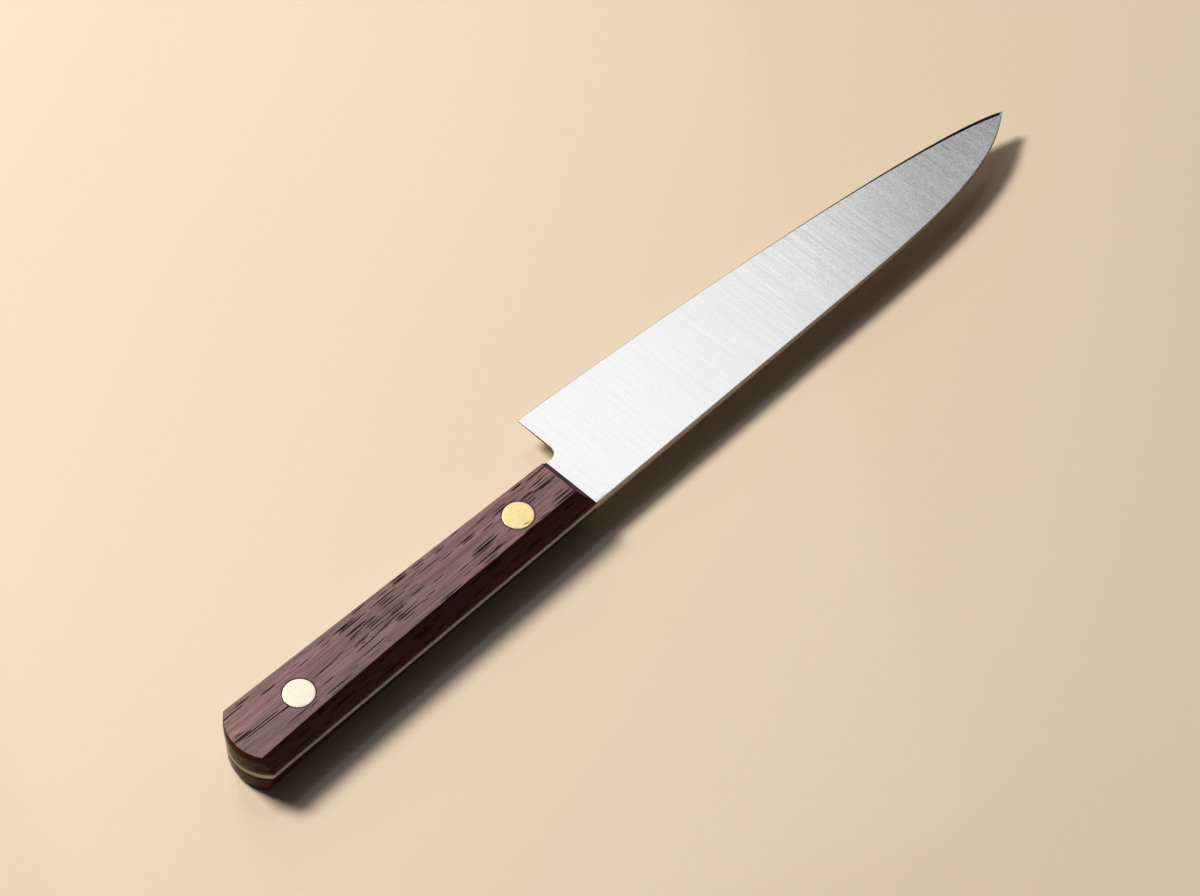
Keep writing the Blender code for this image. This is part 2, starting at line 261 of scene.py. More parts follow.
def clockwise_arc(centre, radius, start, end, steps):
    first, last = (math.atan2(direction.y, direction.x) for direction in (start, end))
    turns = even_steps(first, first - (first - last) % (2 * math.pi), steps)[1:]
    return [centre + radius * Vector((math.cos(turn), math.sin(turn))) for turn in turns]


def along_handle(x):
    return min(1.0, max(0.0, -x / HANDLE_LENGTH))


def handle_outline(front_inset=0.0, lean=0.0, rim=0.0, inset=0.0):
    """Outline of the handle, leaning in from the tang's by a share of the wall's draft and a share of the
    rim's width, and then drawn in by an inset: back along the spine side, round the butt and forward along
    the belly. Every call gives the same number of points."""
    def spine(x):
        draft = mix(SPINE_DRAFT_AT_FRONT, SPINE_DRAFT_AT_BUTT, along_handle(x) ** SPINE_DRAFT_EASE)
        return lean * draft + rim * SPINE_RIM_WIDTH + inset

    def belly(x):
        draft = mix(BELLY_DRAFT_AT_FRONT, BELLY_DRAFT_AT_BUTT, along_handle(x))
        full_height = mix(FRONT_HEIGHT, BUTT_HEIGHT, along_handle(x))
        return full_height - lean * draft - rim * BELLY_RIM_WIDTH - inset

    turn = mix(lean * ARC_TURN_AT_RIM, 1.0, rim)
    radius = mix(BUTT_RADIUS, FACE_BUTT_RADIUS, turn)
    apex = lean * BUTT_DRAFT + rim * BUTT_RIM_WIDTH - HANDLE_LENGTH
    centre = Vector((apex + radius, mix(BUTT_APEX_HEIGHT, FACE_BUTT_APEX_HEIGHT, turn)))
    radius -= inset
    corner = max(LEAST_CORNER, BUTT_CORNER_RADIUS * (1 - rim * CORNER_WEAR) - inset)
    spine_centre, spine_in = corner_round(spine, 1, corner, centre, radius)
    belly_centre, belly_in = corner_round(belly, -1, corner, centre, radius)
    spine_turn, belly_turn = spine_centre - centre, belly_centre - centre
    spine_end = (spine_centre - spine_in * corner).x
    belly_end = (belly_centre - belly_in * corner).x
    points = [Vector((x, spine(x))) for x in even_steps(-front_inset, spine_end, SIDE_STEPS)]
    points += clockwise_arc(spine_centre, corner, -spine_in, spine_turn, CORNER_STEPS)
    points += clockwise_arc(centre, radius, spine_turn, belly_turn, BUTT_STEPS)
    points += clockwise_arc(belly_centre, corner, belly_turn, -belly_in, CORNER_STEPS)
    points += [Vector((x, belly(x))) for x in even_steps(belly_end, -front_inset, SIDE_STEPS)[1:]]
    return points


# Meshes

def closed_mesh(name, corners, faces, zones=None):
    """Mesh of these corners and faces, merged where they meet and turned outward. A zone is a number per
    corner, which the materials read."""
    work = bmesh.new()
    layer = work.verts.layers.float.new("zone")
    verts = []
    for index, corner in enumerate(corners):
        vert = work.verts.new(corner)
        vert[layer] = zones[index] if zones else 0.0
        verts.append(vert)
    for face in faces:
        work.faces.new([verts[index] for index in face])
    bmesh.ops.remove_doubles(work, verts=work.verts, dist=MERGE_DISTANCE)
    bmesh.ops.recalc_face_normals(work, faces=work.faces)
    mesh = bpy.data.meshes.new(name)
    work.to_mesh(mesh)
    work.free()
    return mesh


def finished_piece(name, mesh, finishes, cutters=(), place=(0.0, 0.0)):
    """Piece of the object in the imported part's frame, with its holes cut, smooth rounds and flat faces."""
    piece = bpy.data.objects.new(name, mesh)
    bpy.context.scene.collection.objects.link(piece)
    for finish in finishes:
        mesh.materials.append(finish)
    for cutter in cutters:
        hole = piece.modifiers.new(cutter.name, "BOOLEAN")
        hole.operation = "DIFFERENCE"
        hole.solver = "EXACT"
        hole.object = cutter
    if cutters:
        bpy.context.view_layer.update()
        cut = bpy.data.meshes.new_from_object(piece.evaluated_get(bpy.context.evaluated_depsgraph_get()))
        piece.modifiers.clear()
        cut.name = name
        piece.data = cut
        bpy.data.meshes.remove(mesh)
        mesh = cut
        zones = mesh.attributes["zone"].data
        for vertex in mesh.vertices:
            if any((vertex.co.xy - cutter.location.xy).length < HOLE_ZONE_REACH for cutter in cutters):
                zones[vertex.index].value = 0.0
    mesh.transform(Matrix.Translation(KNIFE_PLACE + Vector((*place, 0.0))))
    mesh.shade_smooth()
    mesh.set_sharp_from_angle(angle=SHARP_ANGLE)
    flat = piece.modifiers.new("flat_faces", "WEIGHTED_NORMAL")
    flat.mode = "FACE_AREA"
    flat.weight = 60
    flat.keep_sharp = True
    return piece


def bevel_width(x):
    growth = ((x - HEEL_REACH) / BLADE_LENGTH - BEVEL_GROWTH_START) / (1 - BEVEL_GROWTH_START)
    return mix(BEVEL_AT_HEEL, BEVEL_AT_TIP, max(0.0, growth) ** BEVEL_GROWTH_POWER)


def half_steel(point):
    """Half the steel's thickness on the flat grind, which fades into the full stock under the scales."""
    taper = max(0.0, point.x - HEEL_REACH) / BLADE_LENGTH
    at_spine = mix(HALF_STOCK, POINT_THICKNESS / 2, taper)
    bevel = bevel_width(point.x)
    at_shoulder = EDGE_THICKNESS / 2 + BEVEL_SLOPE * bevel
    ground = mix(at_spine, at_shoulder, min(1.0, max(0.0, point.y / (height_on(EDGE, point.x) - bevel))))
    return mix(HALF_STOCK, ground, smooth((point.x - GRIND_START) / (GRIND_FULL - GRIND_START)))


def side_round(width, flatness):
    """Steps round a side of the steel, as insets and shares of half the thickness."""
    power = 2 / flatness
    turns = quarter_turn(ROUND_STEPS)
    return [(width * (1 - math.cos(turn) ** power), math.sin(turn) ** power) for turn in turns]


def rounded_side(point, inward, x, limit):
    """Points from the middle of the steel's side up onto its left face."""
    forward = smooth(x / HEEL_REACH)
    width, flatness = (mix(tang, spine, forward) for tang, spine in zip(TANG_ROUND, SPINE_ROUND))
    width *= 1 + TIP_WEAR * smooth((x - TIP_WEAR_START) / (TIP.x - TIP_WEAR_START))
    points = []
    for inset, share in side_round(min(width, limit), flatness):
        place = point + inward * inset
        points.append((*place, half_steel(place) * share))
    return points


def blade_rib(spine, belly, ground):
    """Points on the left half from the middle of the spine's face to the middle of the edge."""
    across = belly - spine
    inward = across.normalized()
    limit = across.length * ROUND_LIMIT
    start = rounded_side(spine, inward, spine.x, limit)
    if ground:
        width = min(bevel_width(belly.x) / across.length, BEVEL_LIMIT)
        shoulder = belly.lerp(spine, width)
        level = half_steel(shoulder)
        end = [(*shoulder.lerp(belly, share), mix(level, EDGE_THICKNESS / 2, share))
               for share in even_steps(0, 1, ROUND_STEPS - 1)]
        end.append((*belly, 0.0))
        face_end = shoulder
    else:
        end = rounded_side(belly, -inward, belly.x, limit)[::-1]
        face_end = Vector(end[0][:2])
    face_start = Vector(start[-1][:2])
    middle = [(*point, half_steel(point)) for point in even_steps(face_start, face_end, RIB_CELLS)[1:-1]]
    return start + middle + end


def rib_ends():
    """Where each rib starts on the spine and ends on the belly, and whether it ends in the cutting edge."""
    back = heel_outline()
    fan_end = HEEL_REACH + HEEL_FAN
    fan = even_steps(0, fan_end - FAN_GAP, len(back) - 1)
    ends = [(x, belly, False) for x, belly in zip(fan, back)]
    for step in range(EDGE_STEPS):
        share = 1 - (1 - step / EDGE_STEPS) ** RIB_CROWDING
        x = mix(HEEL_REACH, TIP.x, share)
        ends.append((mix(fan_end, TIP.x, share), Vector((x, height_on(EDGE, x))), True))
    return ends


def steel_mesh():
    """Blade and tang in one: ribs from the handle's front to the tip, and rings round the tang."""
    corners, zones, faces = [], [], []
    ends = rib_ends()
    for spine_x, belly, ground in ends:
        rib = blade_rib(Vector((spine_x, height_on(SPINE, spine_x))), belly, ground)
        size = len(rib)
        corners += rib
        zones += [0.0] * (size - ROUND_STEPS - 1) + [EDGE_ZONE if ground else 0.0] * (ROUND_STEPS + 1)
    tip = len(corners)
    corners.append((*TIP, 0.0))
    zones.append(EDGE_ZONE)
    for rib in range(len(ends) - 1):
        for cell in range(size - 1):
            near, far = rib * size + cell, (rib + 1) * size + cell
            faces.append([near, far, far + 1, near + 1])
    last = tip - size
    faces += [[last + cell, tip, last + cell + 1] for cell in range(size - 1)]
    rings = []
    for inset, share in side_round(*TANG_ROUND):
        outline = handle_outline(inset=inset)
        rings.append(range(len(corners), len(corners) + len(outline)))
        corners += [(*point, half_steel(point) * share) for point in outline]
        zones += [SEAM_ZONE * smooth((share - SEAM_START) / (1 - SEAM_START) * 2)] * len(outline)
    for near, far in zip(rings, rings[1:]):
        faces += [[near[step], near[step + 1], far[step + 1], far[step]] for step in range(len(near) - 1)]
    first_rib = list(range(ROUND_STEPS + 1, size - ROUND_STEPS - 1))
    faces.append(list(rings[-1]) + first_rib[::-1])
    under = len(corners)
    faces += [[index + under for index in face] for face in faces]
    corners += [(x, y, -z) for x, y, z in corners]
    return closed_mesh("steel", corners, faces, zones + zones)


def scale_layers():
    """Steps up a scale. Each is a share of the height from the seat to the edge of the outer face, a height
    above that, shares of the wall's lean and the rim's width, a further inset and the zone."""
    layers = []
    rim_start = 1 - RIM_HEIGHT / (EDGE_LEVEL - HALF_STOCK)
    for turn in quarter_turn(SEAT_STEPS):
        lean = SEAT_EASE / (EDGE_LEVEL - HALF_STOCK) * (1 - math.cos(turn))
        layers.append((lean * rim_start, 0.0, lean, 0.0, SEAT_EASE * (1 - math.sin(turn)), SEAM_ZONE))
    layers[-1] = (*layers[-1][:5], 0.0)
    for share in even_steps(lean, 1, WALL_STEPS)[1:]:
        layers.append((share * rim_start, 0.0, share, 0.0, 0.0, 0.0))
    top = 1 - RIDGE_EASE * 0.5 / (EDGE_LEVEL - HALF_STOCK)
    for share in even_steps(0, 1, RIM_STEPS)[1:]:
        turn = share * math.pi / 2
        rise = mix(share, math.sin(turn), RIM_BULGE)
        rim = mix(share, 1 - math.cos(turn), RIM_BULGE)
        layers.append((mix(rim_start, top, rise), 0.0, 1.0, rim, 0.0, EDGE_ZONE * share))
    for share in even_steps(0, 1, CROWN_STEPS):
        rise = CROWN_DROP * (1 - (1 - share) ** 2)
        layers.append((1.0, rise, 1.0, 1.0, RIDGE_EASE + CROWN_REACH * share, 0.0))
    return layers


def scale_mesh(name, side):
    """A scale on the left side (side = 1) or the right side (side = -1)."""
    corners, zones = [], []
    layers = scale_layers()
    for height, rise, lean, rim, inset, zone in layers:
        past_ridge = inset if rim == 1 else 0.0
        outline = handle_outline(FRONT_REACH * height + past_ridge, lean, rim, inset)
        for point in outline:
            level = mix(half_steel(point) + SEAT_LIFT, EDGE_LEVEL, height) + rise
            corners.append((*point, side * level))
            zones.append(zone)
    count = len(outline)
    starts = range(0, len(corners), count)
    faces = [list(range(count)), list(range(starts[-1], starts[-1] + count))]
    for start in starts[:-1]:
        ring = [start + step for step in range(count)]
        faces += [[a, b, b + count, a + count] for a, b in zip(ring, ring[1:] + ring[:1])]
    return closed_mesh(name, corners, faces, zones)


def turned_mesh(name, profile):
    """Solid turned round Z from a profile of radius, height and zone that starts and ends on the axis."""
    corners, zones, rings = [], [], []
    for radius, height, zone in profile:
        count = TURN_STEPS if radius else 1
        rings.append(range(len(corners), len(corners) + count))
        turns = [2 * math.pi * step / count for step in range(count)]
        corners += [(radius * math.cos(turn), radius * math.sin(turn), height) for turn in turns]
        zones += [zone] * count
    faces = []
    for near, far in zip(rings, rings[1:]):
        for step in range(TURN_STEPS):
            here = [ring[step % len(ring)] for ring in (near, far)]
            after = [ring[(step + 1) % len(ring)] for ring in (far, near)]
            faces.append(list(dict.fromkeys(here + after)))
    return closed_mesh(name, corners, faces, zones)


def head_profile():
    """Outer half of a rivet head: crowned face, rounded rim and side."""
    radius = HEAD_DIAMETER / 2
    flat = radius - HEAD_RIM
    shares = even_steps(0, 1, HEAD_STEPS)
    profile = [(flat * share, FACE_LEVEL - HEAD_CROWN * share ** 2, 0.0) for share in shares]
    for turn in quarter_turn(HEAD_RIM_STEPS)[1:]:
        drop = HEAD_CROWN + HEAD_RIM * (1 - math.cos(turn))
        profile.append((flat + HEAD_RIM * math.sin(turn), FACE_LEVEL - drop, 1.0))
    return profile + [(radius, HEAD_SEAT, 0.0)]


def tube_half():
    outer, bore = TUBE_DIAMETER / 2, BORE_DIAMETER / 2
    inside = [(outer, HEAD_SEAT), (outer, -HEAD_SEAT + HALVES_GAP), (bore, -HEAD_SEAT + HALVES_GAP)]
    inside += [(bore, FACE_LEVEL - BORE_FLOOR), (0, FACE_LEVEL - BORE_FLOOR)]
    return head_profile() + [(*point, 0.0) for point in inside]


def pin_half():
    radius = BORE_DIAMETER / 2 - HALVES_GAP
    end = FACE_LEVEL - BORE_FLOOR - HALVES_GAP
    head = [(reach, -height, zone) for reach, height, zone in head_profile()]
    shank = [(radius, -HEAD_SEAT), (radius, end - PIN_CHAMFER), (radius - PIN_CHAMFER, end), (0, end)]
    return head + [(*point, 0.0) for point in shank]


def rivet_hole():
    """Hole through scales and tang, with a broken edge at each outer face."""
    head, shank = HEAD_DIAMETER / 2 + HEAD_GAP, TUBE_DIAMETER / 2 + SHANK_GAP
    seat = HEAD_SEAT - SEAT_GAP
    lip = head + HOLE_LIP
    top = FACE_LEVEL + HOLE_EXCESS
    upper = [(0, top), (lip + HOLE_EXCESS, top), (lip, FACE_LEVEL)]
    upper += [(head, FACE_LEVEL - HOLE_LIP), (head, seat), (shank, seat)]
    points = upper + [(reach, -height) for reach, height in reversed(upper)]
    return [(*point, 0.0) for point in points]


# Materials

def node(tree, kind, settings=None, **values):
    """Adds a node. A value is a socket to link from, or what the input holds. In an input's name an
    underscore stands for a space, and i with a number is the input of that index."""
    made = tree.nodes.new(kind)
    for name, value in (settings or {}).items():
        setattr(made, name, value)
    for name, value in values.items():
        key = int(name[1:]) if name[0] == "i" and name[1:].isdigit() else name.replace("_", " ")
        socket = made.inputs[key]
        if isinstance(value, bpy.types.NodeSocket):
            tree.links.new(value, socket)
        else:
            socket.default_value = value
    return made


def stretched(tree, vector, scale, shift=(0.0, 0.0, 0.0)):
    return node(tree, "ShaderNodeMapping", Vector=vector, Scale=scale, Location=shift).outputs["Vector"]


def noise(tree, vector, scale, detail=2.0, roughness=0.5, shift=(0.0, 0.0, 0.0), output="Fac"):
    """Noise with features 1 / scale metres long along each axis."""
    pattern = stretched(tree, vector, scale, shift)
    made = node(tree, "ShaderNodeTexNoise", Vector=pattern, Scale=1.0, Detail=detail, Roughness=roughness)
    return made.outputs[output]


def ranged(tree, value, low, high, start=0.0, end=1.0, kind="LINEAR"):
    """Turns low to high into start to end, and stays there past both."""
    limits = {"i1": low, "i2": high, "i3": start, "i4": end}
    return node(tree, "ShaderNodeMapRange", {"interpolation_type": kind}, i0=value, **limits).outputs[0]


def sums(tree, operation, first, second):
    return node(tree, "ShaderNodeMath", {"operation": operation}, i0=first, i1=second).outputs[0]


def weighted(tree, first, second):
    """Sum of two values, each given with its weight."""
    return sums(tree, "ADD", sums(tree, "MULTIPLY", *first), sums(tree, "MULTIPLY", *second))


def vectors(tree, operation, first, second, output="Vector"):
    made = node(tree, "ShaderNodeVectorMath", {"operation": operation}, i0=first, i1=second)
    return made.outputs[output]


def part_of(tree, vector, axis):
    return node(tree, "ShaderNodeSeparateXYZ", Vector=vector).outputs[axis]


def blend(tree, share, first, second):
    """Mixes two colours, each a socket or its three numbers."""
    made = node(tree, "ShaderNodeMix", {"data_type": "RGBA"}, i0=share)
    for index, value in ((6, first), (7, second)):
        if isinstance(value, bpy.types.NodeSocket):
            tree.links.new(value, made.inputs[index])
        else:
            made.inputs[index].default_value = (*value, 1.0)
    return made.outputs[2]


def zone_of(tree):
    return node(tree, "ShaderNodeAttribute", {"attribute_name": "zone"}).outputs["Fac"]


def seam_shade_share(tree):
    """How far a place lies in the painted shade along the line between tang and wood: zones near the seam's
    own.
    """
    zone = zone_of(tree)
    rising = ranged(tree, zone, SEAM_ZONE * 0.2, SEAM_ZONE * 0.6)
    falling = ranged(tree, zone, SEAM_ZONE * 1.2, SEAM_ZONE * 1.5, 1.0, 0.0)
    return sums(tree, "MULTIPLY", rising, falling)


def share_along(tree, place, reach, low=0.0, kind="LINEAR"):
    """Rises from a low value to 1 between two distances in front of the handle."""
    near, far = (KNIFE_PLACE.x + distance for distance in reach)
    return ranged(tree, part_of(tree, place, "X"), near, far, low, 1.0, kind)


def flat_offset(tree, place, point):
    """Offset of a place from a point of the knife, in the plane of the knife."""
    offset = vectors(tree, "SUBTRACT", place, KNIFE_PLACE + point.to_3d())
    return vectors(tree, "MULTIPLY", offset, (1, 1, 0))


def ring_shade_share(tree, place):
    """How far a place lies in the ring of painted shade round a rivet's head."""
    near, far = (HEAD_DIAMETER / 2 + reach for reach in RING_FADE)
    rings = []
    for centre in RIVETS.values():
        offset = flat_offset(tree, place, centre)
        reach = node(tree, "ShaderNodeVectorMath", {"operation": "LENGTH"}, i0=offset).outputs["Value"]
        rings.append(ranged(tree, reach, near, far, 1.0, 0.0))
    return sums(tree, "MAXIMUM", *rings)


def stroke_share(tree, place, strokes):
    """How far a place on the knife's upper side lies in one of the strokes, which narrow to their ends."""
    shares = []
    for start, end, width in strokes:
        along = (Vector(end) - Vector(start)).to_3d()
        offset = flat_offset(tree, place, Vector(start))
        share = vectors(tree, "DOT_PRODUCT", offset, along / along.length_squared, "Value")
        share = ranged(tree, share, 0.0, 1.0)
        foot = node(tree, "ShaderNodeVectorMath", {"operation": "SCALE"}, i0=along, Scale=share).outputs[0]
        reach = vectors(tree, "DISTANCE", offset, foot, "Value")
        middle = sums(tree, "MULTIPLY", share, sums(tree, "SUBTRACT", 1.0, share))
        fullness = ranged(tree, middle, 0.0, STROKE_TAPER, STROKE_POINT, 1.0)
        reach = sums(tree, "DIVIDE", reach, fullness)
        shares.append(ranged(tree, reach, width * STROKE_CORE, width, 1.0, 0.0))
    most = shares[0]
    for share in shares[1:]:
        most = sums(tree, "MAXIMUM", most, share)
    upper_side = ranged(tree, part_of(tree, place, "Z"), KNIFE_PLACE.z, KNIFE_PLACE.z + UPPER_SIDE_FADE)
    return sums(tree, "MULTIPLY", most, upper_side)


def new_finish(name):
    made = bpy.data.materials.new(name)
    made.use_nodes = True
    tree = made.node_tree
    place = node(tree, "ShaderNodeTexCoord").outputs["Object"]
    return made, tree, tree.nodes["Principled BSDF"], place


def link(tree, value, socket):
    tree.links.new(value, socket)


def add_relief(tree, shader, height, strength, depth):
    """Bump of this depth in metres."""
    bump = node(tree, "ShaderNodeBump", Strength=strength, Distance=depth, Height=height)
    link(tree, bump.outputs["Normal"], shader.inputs["Normal"])


def ground_steel():
    """Satin stainless steel with fine grind lines straight across the blade, worn plain at the heel."""
    made, tree, shader, place = new_finish("ground_steel")
    worn = (0.570, 0.570, 0.571)
    groove, crest = (0.440, 0.440, 0.444), (0.705, 0.704, 0.704)
    scratched = (0.20, 0.19, 0.18)
    fine = noise(tree, place, (3100, 70, 70), roughness=0.6)
    lines = noise(tree, place, (2700, 45, 45), roughness=0.6, shift=(3.0, 1.0, 0.0))
    specks = noise(tree, place, (2800, 1500, 1500), detail=1.0, shift=(1.0, 5.0, 2.0))
    clouds = noise(tree, place, (190, 110, 110), shift=(7.0, 0.0, 2.0))
    grind = weighted(tree, (fine, 0.7), (lines, 0.3))
    marks = weighted(tree, (grind, 0.58), (specks, 0.42))
    fresh = share_along(tree, place, FRESH_GRIND, WORN_GRIND_SHARE, "SMOOTHSTEP")
    marked = blend(tree, ranged(tree, marks, 0.39, 0.61), groove, crest)
    colour = blend(tree, fresh, worn, marked)
    scratch = stroke_share(tree, place, BLADE_SCRATCHES)
    link(tree, blend(tree, scratch, colour, scratched), shader.inputs["Base Color"])
    link(tree, ranged(tree, grind, 0.35, 0.65, 0.185, 0.155), shader.inputs["Roughness"])
    shader.inputs["Metallic"].default_value = 1.0
    relief = sums(tree, "ADD", marks, sums(tree, "MULTIPLY", clouds, 0.3))
    add_relief(tree, shader, relief, 0.05, 0.00002)
    return made


def side_steel():
    """The spine and the tang's edge, dulled and stained, with polishing lines along the knife. The butt's
    end and the spine toward the tip are darkened with painted shade."""
    made, tree, shader, place = new_finish("side_steel")
    stained, polished = (0.56, 0.50, 0.43), (0.76, 0.69, 0.60)
    butt_shade_tone = (0.30, 0.26, 0.22)
    spine_shade_tone = (0.30, 0.20, 0.12)
    # The seam tone is painted shade in the line where the tang meets the wood.
    seam_shade_tone = (0.010, 0.007, 0.005)
    lines = noise(tree, place, (70, 2600, 3800), detail=3.0, roughness=0.6)
    stain = noise(tree, place, (240, 240, 240))
    tone = weighted(tree, (lines, 0.6), (stain, 0.4))
    seam = seam_shade_share(tree)
    colour = blend(tree, ranged(tree, tone, 0.36, 0.64), stained, polished)
    facing = node(tree, "ShaderNodeNewGeometry").outputs["Normal"]
    # Painted shade: faces that turn back toward the butt darken.
    behind = ranged(tree, part_of(tree, facing, "X"), -0.95, -0.35, 1.0, 0.0)
    colour = blend(tree, behind, colour, butt_shade_tone)
    # Painted shade: the spine darkens toward the tip.
    colour = blend(tree, share_along(tree, place, SPINE_SHADE), colour, spine_shade_tone)
    link(tree, blend(tree, seam, colour, seam_shade_tone), shader.inputs["Base Color"])
    link(tree, ranged(tree, tone, 0.3, 0.7, 0.50, 0.40), shader.inputs["Roughness"])
    link(tree, ranged(tree, seam, 0.0, 1.0, 0.7, 0.0), shader.inputs["Metallic"])
    add_relief(tree, shader, lines, 0.3, 0.00002)
    return made


def dull_steel():
    """Back of the heel and the choil, darkened with a painted reflection of the shade under the blade."""
    made, tree, shader, place = new_finish("dull_steel")
    # Painted reflection of the shade beneath: this steel is kept far darker than steel is.
    dark, light = (0.085, 0.065, 0.050), (0.17, 0.145, 0.12)
    stain = noise(tree, place, (900, 900, 900), detail=3.0, roughness=0.6)
    link(tree, blend(tree, ranged(tree, stain, 0.36, 0.64), dark, light), shader.inputs["Base Color"])
    link(tree, ranged(tree, stain, 0.3, 0.7, 0.52, 0.40), shader.inputs["Roughness"])
    shader.inputs["Metallic"].default_value = 0.8
    add_relief(tree, shader, stain, 0.3, 0.00002)
    return made


def honed_steel():
    """Cutting bevel: finer than the ground face, and darker with a painted dark reflection."""
    made, tree, shader, place = new_finish("honed_steel")
    # Painted reflection: the bevel's steel is kept far darker than steel is, as if it mirrored a dim room.
    dark, light = (0.075, 0.073, 0.070), (0.125, 0.122, 0.119)
    lines = noise(tree, place, (3600, 700, 700))
    link(tree, blend(tree, ranged(tree, lines, 0.36, 0.64), dark, light), shader.inputs["Base Color"])
    link(tree, ranged(tree, lines, 0.3, 0.7, 0.20, 0.13), shader.inputs["Roughness"])
    shader.inputs["Metallic"].default_value = 1.0
    add_relief(tree, shader, lines, 0.2, 0.00001)
    return made


def pores(tree, place, scale, shift, crowding, filled, size):
    """Mask of open pores: long thin cells, more of them filled where they crowd, each up to a size."""
    cells = node(tree, "ShaderNodeTexVoronoi", Vector=stretched(tree, place, scale, shift), Scale=1.0)
    chance = node(tree, "ShaderNodeSeparateColor", Color=cells.outputs["Color"]).outputs[0]
    chance = sums(tree, "ADD", chance, crowding)
    least = ranged(tree, chance, 1.0 - filled, 1.01 - filled, 0.0, size * 0.6)
    reach = sums(tree, "ADD", least, ranged(tree, chance, 1.0 - filled, 1.2, 0.0, size * 0.4))
    depth = sums(tree, "SUBTRACT", reach, cells.outputs["Distance"])
    return ranged(tree, depth, 0.0, 0.02)


def rosewood(name, tones, specular, gloss):
    """Oiled rosewood: dark red-brown with pale purplish bands, fine fibres and short open pores along the
    grain, and small splits."""
    made, tree, shader, place = new_finish(name)
    # Painted shade: the open pores and splits turn near-black, as their hollows are shaded.
    pore_shade_tone = (0.0010, 0.0006, 0.0006)
    # The seam tone is painted shade in the line where the wood meets the tang.
    seam_shade_tone = (0.004, 0.0025, 0.002)
    # Painted shade in a ring round each rivet's head.
    ring_shade_tone = (0.016, 0.008, 0.003)
    drift = noise(tree, place, (20, 90, 90), detail=1.0, output="Color")
    drift = vectors(tree, "SUBTRACT", drift, (0.5, 0.5, 0.5))
    drift = vectors(tree, "MULTIPLY", drift, (0, GRAIN_DRIFT, GRAIN_DRIFT))
    grain = vectors(tree, "ADD", place, drift)
    bands = noise(tree, grain, (14, 420, 420), detail=3.0, roughness=0.55)
    fibres = noise(tree, grain, (90, 3000, 3000), roughness=0.6, shift=(1.0, 2.0, 3.0))
    purple = noise(tree, grain, (16, 120, 120), detail=1.0, shift=(5.0, 4.0, 1.0))
    crowds = noise(tree, grain, (45, 260, 260), detail=1.0, shift=(2.0, 6.0, 3.0))

    colour = blend(tree, ranged(tree, bands, 0.38, 0.62), tones["dark"], tones["pale"])
    colour = blend(tree, ranged(tree, purple, 0.42, 0.66, 0.0, 0.7), colour, tones["purple"])
    colour = blend(tree, ranged(tree, fibres, 0.38, 0.56, 0.75, 0.0), colour, tones["fibre"])
    # Painted shade: the rounded rim of the outer face darkens toward the rim tones.
    rim_shade_share = ranged(tree, zone_of(tree), EDGE_ZONE * 0.8, 0.0, 0.75, 0.0)
    colour = blend(tree, rim_shade_share, colour, tones["rim"])

    crowding = ranged(tree, crowds, 0.38, 0.62, -0.16, 0.14)
    long_pores = pores(tree, grain, (82, 2300, 2300), (0.3, 0.7, 0.1), crowding, 0.24, 0.50)
    short_pores = pores(tree, grain, (165, 2600, 2600), (0.9, 0.2, 0.5), crowding, 0.24, 0.50)
    open_pores = sums(tree, "MAXIMUM", long_pores, short_pores)
    open_pores = sums(tree, "MAXIMUM", open_pores, stroke_share(tree, grain, WOOD_SPLITS))
    colour = blend(tree, open_pores, colour, pore_shade_tone)
    colour = blend(tree, seam_shade_share(tree), colour, seam_shade_tone)
    colour = blend(tree, ring_shade_share(tree, place), colour, ring_shade_tone)
    link(tree, colour, shader.inputs["Base Color"])

    rough = ranged(tree, fibres, 0.3, 0.7, gloss + 0.05, gloss - 0.05)
    rough = sums(tree, "ADD", rough, sums(tree, "MULTIPLY", open_pores, 0.6))
    link(tree, rough, shader.inputs["Roughness"])
    shader.inputs["Specular IOR Level"].default_value = specular
    relief = sums(tree, "SUBTRACT", sums(tree, "MULTIPLY", fibres, 0.04), open_pores)
    add_relief(tree, shader, relief, 0.45, 0.00025)
    return made


def wood_finishes():
    """The sanded outer face, greyed with painted sheen, the polished sides darkened with painted shade and
    the front facet painted nearly black as shade.
    """
    # The face tones are greyed toward purple as painted sheen; the side and front tones are the same wood
    # darkened as painted shade.
    face = {"dark": (0.148, 0.074, 0.073), "pale": (0.292, 0.141, 0.141), "purple": (0.188, 0.118, 0.125),
            "fibre": (0.088, 0.042, 0.041), "rim": (0.090, 0.034, 0.030)}
    side = {"dark": (0.048, 0.006, 0.002), "pale": (0.094, 0.013, 0.005), "purple": (0.053, 0.010, 0.006),
            "fibre": (0.026, 0.004, 0.002), "rim": (0.042, 0.008, 0.005)}
    front = {"dark": (0.035, 0.018, 0.016), "pale": (0.075, 0.038, 0.033), "purple": (0.045, 0.022, 0.020),
             "fibre": (0.024, 0.011, 0.009), "rim": (0.020, 0.008, 0.006)}
    return [
        rosewood("rosewood_face_painted_sheen", face, specular=0.27, gloss=0.38),
        rosewood("rosewood_side_painted_shade", side, specular=0.07, gloss=0.32),
        rosewood("rosewood_front_painted_shade", front, specular=0.08, gloss=0.50),
    ]


